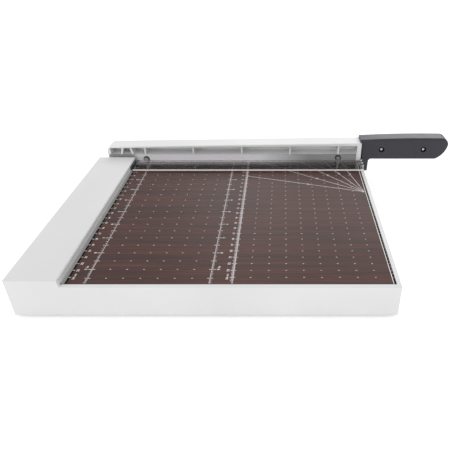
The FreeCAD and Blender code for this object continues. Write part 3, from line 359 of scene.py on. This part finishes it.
class Print:
    """Thin ink shapes that lie on the board, gathered into one mesh."""

    def __init__(self, lift=PRINT_LIFT):
        self.mesh = bmesh.new()
        self.low = BOARD_TOP + lift
        self.high = BOARD_TOP + lift + PRINT_THICK

    def patch(self, corners):
        """One flat ink shape through corners given as (x, y) in metres."""
        low = [self.mesh.verts.new((x, y, self.low)) for x, y in corners]
        high = [self.mesh.verts.new((x, y, self.high)) for x, y in corners]
        self.mesh.faces.new(high)
        self.mesh.faces.new(list(reversed(low)))
        for index in range(len(corners)):
            after = (index + 1) % len(corners)
            self.mesh.faces.new((low[index], low[after], high[after], high[index]))

    def bar(self, x, y, length, width):
        """A bar centred on a point, length along X and width along Y."""
        half_l, half_w = length / 2, width / 2
        self.patch([(x - half_l, y - half_w), (x + half_l, y - half_w),
                    (x + half_l, y + half_w), (x - half_l, y + half_w)])

    def line(self, start, end, width):
        """A straight line of ink between two points."""
        start, end = Vector(start), Vector(end)
        along = (end - start).normalized()
        side = Vector((-along.y, along.x)) * (width / 2)
        self.patch([tuple(start - side), tuple(end - side), tuple(end + side), tuple(start + side)])

    def label(self, text, x, y, height, turn):
        """Generic numerals and units, turned about their own middle."""
        curve = bpy.data.curves.new("label", "FONT")
        curve.body = text
        curve.size = height * 1.4
        curve.align_x = "CENTER"
        curve.align_y = "CENTER"
        curve.resolution_u = 2
        curve.offset = 0.06 * MM
        curve.extrude = PRINT_THICK / 2
        carrier = bpy.data.objects.new("label", curve)
        bpy.context.scene.collection.objects.link(carrier)
        shape = bpy.data.meshes.new_from_object(carrier)
        place = Matrix.Translation((x, y, (self.low + self.high) / 2))
        shape.transform(place @ Matrix.Rotation(math.radians(turn), 4, "Z"))
        self.mesh.from_mesh(shape)
        bpy.data.objects.remove(carrier)
        bpy.data.curves.remove(curve)
        bpy.data.meshes.remove(shape)

    def finish(self, name, material):
        """Turn the gathered ink into one piece."""
        piece = new_piece(name, self.mesh, material)
        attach(piece, "base")


def tick_length(sixteenths):
    """The longest ticks stand on the inches, then the halves, the quarters and the rest."""
    for spacing, length in ((16, 4.2), (8, 2.9), (4, 2.0)):
        if sixteenths % spacing == 0:
            return length
    return 1.4


def inch_ruler(ink, x, tick_side, label_x, front):
    """Ticks along a long line, numbered by the inch: sixteenths near the front and eighths beyond."""
    step = 0
    while (step + 1) * INCH / 16 < front:
        step += 1
        distance = step * INCH / 16
        if step % 2 and distance < front - 1.6 * INCH:
            continue
        length = tick_length(step)
        half_inch = step % 8 == 0
        width = 0.5 if half_inch else 0.32
        ink.bar(x + tick_side * (length / 2 + 0.3) * MM, board_y(distance), length * MM, width * MM)
        if half_inch:
            ink.bar(x - tick_side * 1.5 * MM, board_y(distance), 2.2 * MM, width * MM)
    for inches in range(1, int(front / INCH) + 1):
        text = f"{inches} in" if inches == LAST_INCH else str(inches)
        shift = 2.0 if inches == LAST_INCH else 0.0
        ink.label(text, label_x, board_y(inches * INCH - shift), 2.8 * MM, 90)


def centimetre_ruler(ink, x, tick_side, label_x):
    """Centimetre ticks with turned numerals; the unit follows the last number."""
    for row in range(1, CM_ROWS + 1):
        ink.bar(x + tick_side * 1.3 * MM, board_y(row * CM), 2.6 * MM, 0.5 * MM)
        if row < CM_ROWS:
            ink.label(str(row), label_x, board_y(row * CM), 2.5 * MM, 90)
    ink.label(f"{CM_ROWS} cm", label_x, board_y(CM_ROWS * CM - 1.0), 2.3 * MM, 90)


def millimetre_ticks(ink, x, tick_side, front):
    """Short ticks between the centimetres, a little longer at each half."""
    for step in range(1, int(front)):
        if step % CM:
            length = 1.6 if step % 5 == 0 else 0.9
            ink.bar(x + tick_side * (length / 2 + 0.3) * MM, board_y(step), length * MM, 0.3 * MM)


def dot_grid(ink, first_x, columns, pitch_x, rows, pitch_y):
    """Short dashes in straight rows and columns, from the first row after the scales' zero."""
    for row in range(rows):
        for column in range(columns):
            ink.bar(first_x + column * pitch_x, board_y(pitch_y + row * pitch_y), 1.5 * MM, 0.5 * MM)


def angle_fan(ink):
    """Lines every 15 degrees from one point at the right edge, each with a small degree figure."""
    apex = Vector((FAN_X, board_y(FAN_ROW)))
    rear = board_y(3.5)
    for degrees in range(15, 90, 15):
        turn = math.radians(180 - degrees)
        heading = Vector((math.cos(turn), math.sin(turn)))
        reach = min((apex.x - THICK_LINE) / abs(heading.x), (rear - apex.y) / heading.y)
        ink.line(apex, apex + heading * reach, 0.52 * MM)
        spot = apex + heading * (80 - 0.42 * degrees) * MM
        ink.label(f"{degrees}", spot.x, spot.y, 2.7 * MM, -degrees)
    ink.bar(apex.x - 1.2 * MM, apex.y, 3.4 * MM, 2.0 * MM)


def edge_bands():
    """Black bands along the board's left and right edges."""
    band = Print(BAND_LIFT)
    for x in (LEFT_BAND, RIGHT_BAND):
        band.line((x, BOARD_LOW.y + 0.3 * MM), (x, CUT_LINE - 0.6 * MM), BAND_WIDTH)
    black = printed_ink("band_ink", (0.004, 0.004, 0.004), (0.010, 0.009, 0.009), gloss=0.05)
    band.finish("edge_band", black)


def ruler_lines():
    """The long lines that the scales stand on, in a duller ink."""
    rules = Print()
    for x, width in ((LEFT_LINE, 0.6 * MM), (MIDDLE_LINE, 0.8 * MM), (THICK_LINE, 1.6 * MM)):
        rules.line((x, board_y(LINE_END)), (x, board_y(LINE_START)), width)
    rules.finish("ruler_lines", printed_ink("line_ink", (0.26, 0.235, 0.24), (0.46, 0.42, 0.43)))


def board_print():
    """The scales, the dots, the right edge's ticks and the fan of angle lines."""
    ink = Print()
    centimetre_ruler(ink, LEFT_SCALE, 1, LEFT_SCALE + 5.6 * MM)
    inch_ruler(ink, LEFT_LINE, -1, LEFT_SCALE + 12.9 * MM, SCALE_ROOM - 2)
    dot_grid(ink, LEFT_DOTS, 6, LEFT_DOT_PITCH, 19, INCH / 2)
    inch_ruler(ink, MIDDLE_LINE, 1, MIDDLE_LINE + 6.9 * MM, LINE_END)
    for row in range(1, CM_ROWS + 1):
        ink.bar(THICK_LINE + 1.5 * MM, board_y(row * CM), 1.6 * MM, 0.45 * MM)
    centimetre_ruler(ink, THICK_LINE - 0.7 * MM, -1, THICK_LINE - 5.6 * MM)
    millimetre_ticks(ink, THICK_LINE - 0.7 * MM, -1, SCALE_ROOM - 3)
    dot_grid(ink, RIGHT_DOTS, 8, RIGHT_DOT_PITCH, CM_ROWS, CM)
    ink.line((EDGE_LINE, board_y(SCALE_ROOM - 1)), (EDGE_LINE, board_y(LINE_START)), 0.7 * MM)
    for step in range(1, 2 * CM_ROWS + 1):
        ink.bar(EDGE_LINE + 1.6 * MM, board_y(step * CM / 2), 0.9 * MM, 0.45 * MM)
    angle_fan(ink)
    ink.finish("board_print", printed_ink("board_ink", (0.56, 0.51, 0.50), (0.84, 0.79, 0.78)))


# ---------------------------------------------------------------- black rings round the grip's screws, painted shade in their recesses
def solid_boxes(node):
    """The lowest and highest corner of each separate solid in a CAD node, from left to right."""
    mesh = bmesh.new()
    mesh.from_mesh(frame["nodes"][node].data)
    bmesh.ops.remove_doubles(mesh, verts=mesh.verts, dist=0.001 * MM)
    waiting = set(mesh.verts)
    boxes = []
    while waiting:
        reached = [waiting.pop()]
        solid = list(reached)
        while reached:
            for edge in reached.pop().link_edges:
                for vertex in edge.verts:
                    if vertex in waiting:
                        waiting.discard(vertex)
                        reached.append(vertex)
                        solid.append(vertex)
        places = [vertex.co for vertex in solid]
        low = Vector([min(place[axis] for place in places) for axis in range(3)])
        high = Vector([max(place[axis] for place in places) for axis in range(3)])
        boxes.append((low, high))
    mesh.free()
    return sorted(boxes, key=lambda corners: corners[0].x)


def recess_liners():
    """A black ring in each screw recess of the grip, painted shade for the recess's shaded walls: a
    floor ring, a sleeve and a thin outer lip.

    The profile is a closed loop of (radius, y), turned about each screw's own axis.
    """
    mesh = bmesh.new()
    steps = 48
    for low, high in solid_boxes("handle_screws"):
        middle = (low + high) / 2
        floor = low.y
        face = low.y - RECESS_HEAD
        profile = [(1.65 * MM, floor - 0.02 * MM), (1.65 * MM, floor - 0.25 * MM),
                   (1.8 * MM, floor - 0.4 * MM), (3.0 * MM, floor - 0.4 * MM),
                   (3.2 * MM, floor - 0.6 * MM), (3.2 * MM, face - 0.1 * MM),
                   (3.3 * MM, face - 0.18 * MM), (3.9 * MM, face - 0.18 * MM),
                   (4.05 * MM, face - 0.02 * MM), (3.45 * MM, face - 0.02 * MM),
                   (3.45 * MM, floor - 0.02 * MM)]
        rings = []
        for step in range(steps):
            turn = 2 * math.pi * step / steps
            rings.append([mesh.verts.new((middle.x + radius * math.cos(turn), y,
                                          middle.z + radius * math.sin(turn))) for radius, y in profile])
        for step in range(steps):
            ring, after = rings[step], rings[(step + 1) % steps]
            for index in range(len(profile)):
                following = (index + 1) % len(profile)
                mesh.faces.new((ring[index], ring[following], after[following], after[index]))
    # painted shade: near-black rings stand where the recess walls fall into shade
    piece = new_piece("recess_liners", mesh, rubber("recess_shade_black", tone=0.25, gloss=0.1))
    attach(piece, "arm")


# ---------------------------------------------------------------- the guard's front edge
def frosted_acrylic():
    """Saw-cut acrylic: white and rough."""
    material, tree, shader = new_material("frosted_edge")
    fine = noise(tree, stretched_coordinates(tree, (1, 1, 1)), 700.0, 3.0)
    tree.links.new(ramp(tree, fine, [(0.3, (0.78, 0.78, 0.79)), (0.7, (0.90, 0.90, 0.91))]),
                   shader.inputs["Base Color"])
    tree.links.new(value_range(tree, fine, 0.4, 0.6), shader.inputs["Roughness"])
    return material


def guard_edge():
    """The saw-cut front edge of the clear guard: a thin frosted facing with bevelled corners."""
    low = GUARD_LOW.z + 0.5 * MM
    high = GUARD_HIGH.z - 0.1 * MM
    back = GUARD_LOW.y - 0.01 * MM
    proud = GUARD_LOW.y - 0.16 * MM
    bevel = 0.12 * MM
    section = [(back, low), (proud, low + bevel), (proud, high - bevel), (back, high)]
    mesh = bmesh.new()
    ends = []
    for x in (STRIP_HIGH.x + 0.3 * MM, GUARD_HIGH.x - 0.5 * MM):
        ends.append([mesh.verts.new((x, y, z)) for y, z in section])
    mesh.faces.new(ends[0])
    mesh.faces.new(list(reversed(ends[1])))
    for index in range(len(section)):
        after = (index + 1) % len(section)
        mesh.faces.new((ends[0][index], ends[1][index], ends[1][after], ends[0][after]))
    piece = new_piece("guard_edge", mesh, frosted_acrylic())
    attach(piece, "guard")


# ---------------------------------------------------------------- camera, light and floor
def studio():
    """A pale floor that glows faintly, an even white surround and three soft boxes."""
    bpy.ops.mesh.primitive_plane_add(size=8, location=(0, 0, 0))
    floor = bpy.context.object
    floor.name = "floor"
    material, _, shader = new_material("pale_floor")
    shader.inputs["Base Color"].default_value = (0.97, 0.97, 0.97, 1)
    shader.inputs["Roughness"].default_value = 1.0
    shader.inputs["Specular IOR Level"].default_value = 0.0
    shader.inputs["Emission Color"].default_value = (1, 1, 1, 1)
    shader.inputs["Emission Strength"].default_value = 0.2
    floor.data.materials.append(material)
    world = bpy.data.worlds.new("studio")
    world.use_nodes = True
    background = world.node_tree.nodes["Background"]
    background.inputs["Color"].default_value = (1, 1, 1, 1)
    background.inputs["Strength"].default_value = 0.9
    bpy.context.scene.world = world
    bpy.context.scene.view_settings.view_transform = "Standard"
    area_light("key", place=(-0.5, -1.4, 1.0), size=1.4, power=5)
    area_light("back", place=(-0.15, 1.5, 1.05), size=0.6, power=3)
    area_light("grip", place=(0.65, 1.5, 0.65), size=0.7, power=4.5)


def area_light(name, place, size, power):
    """A square soft box that faces the middle of the board."""
    light = bpy.data.lights.new(name, "AREA")
    light.size = size
    light.energy = power
    lamp = bpy.data.objects.new(name, light)
    lamp.location = place
    middle = Vector((0, 0, 30 * MM))
    lamp.rotation_euler = (middle - Vector(place)).to_track_quat("-Z", "Y").to_euler()
    bpy.context.scene.collection.objects.link(lamp)


def camera():
    """High three-quarter front view, level, looking straight along +Y."""
    data = bpy.data.cameras.new("camera")
    data.sensor_width = 36
    data.lens = 34.82
    data.shift_x = -0.1289
    data.shift_y = -0.0889
    data.clip_end = 20
    viewer = bpy.data.objects.new("camera", data)
    viewer.location = (0.0146, -0.4414, 0.3314)
    viewer.rotation_euler = (math.radians(90 - 30.72), 0, 0)
    bpy.context.scene.collection.objects.link(viewer)
    bpy.context.scene.camera = viewer


camera()
studio()
dress_nodes()
edge_bands()
ruler_lines()
board_print()
recess_liners()
guard_edge()
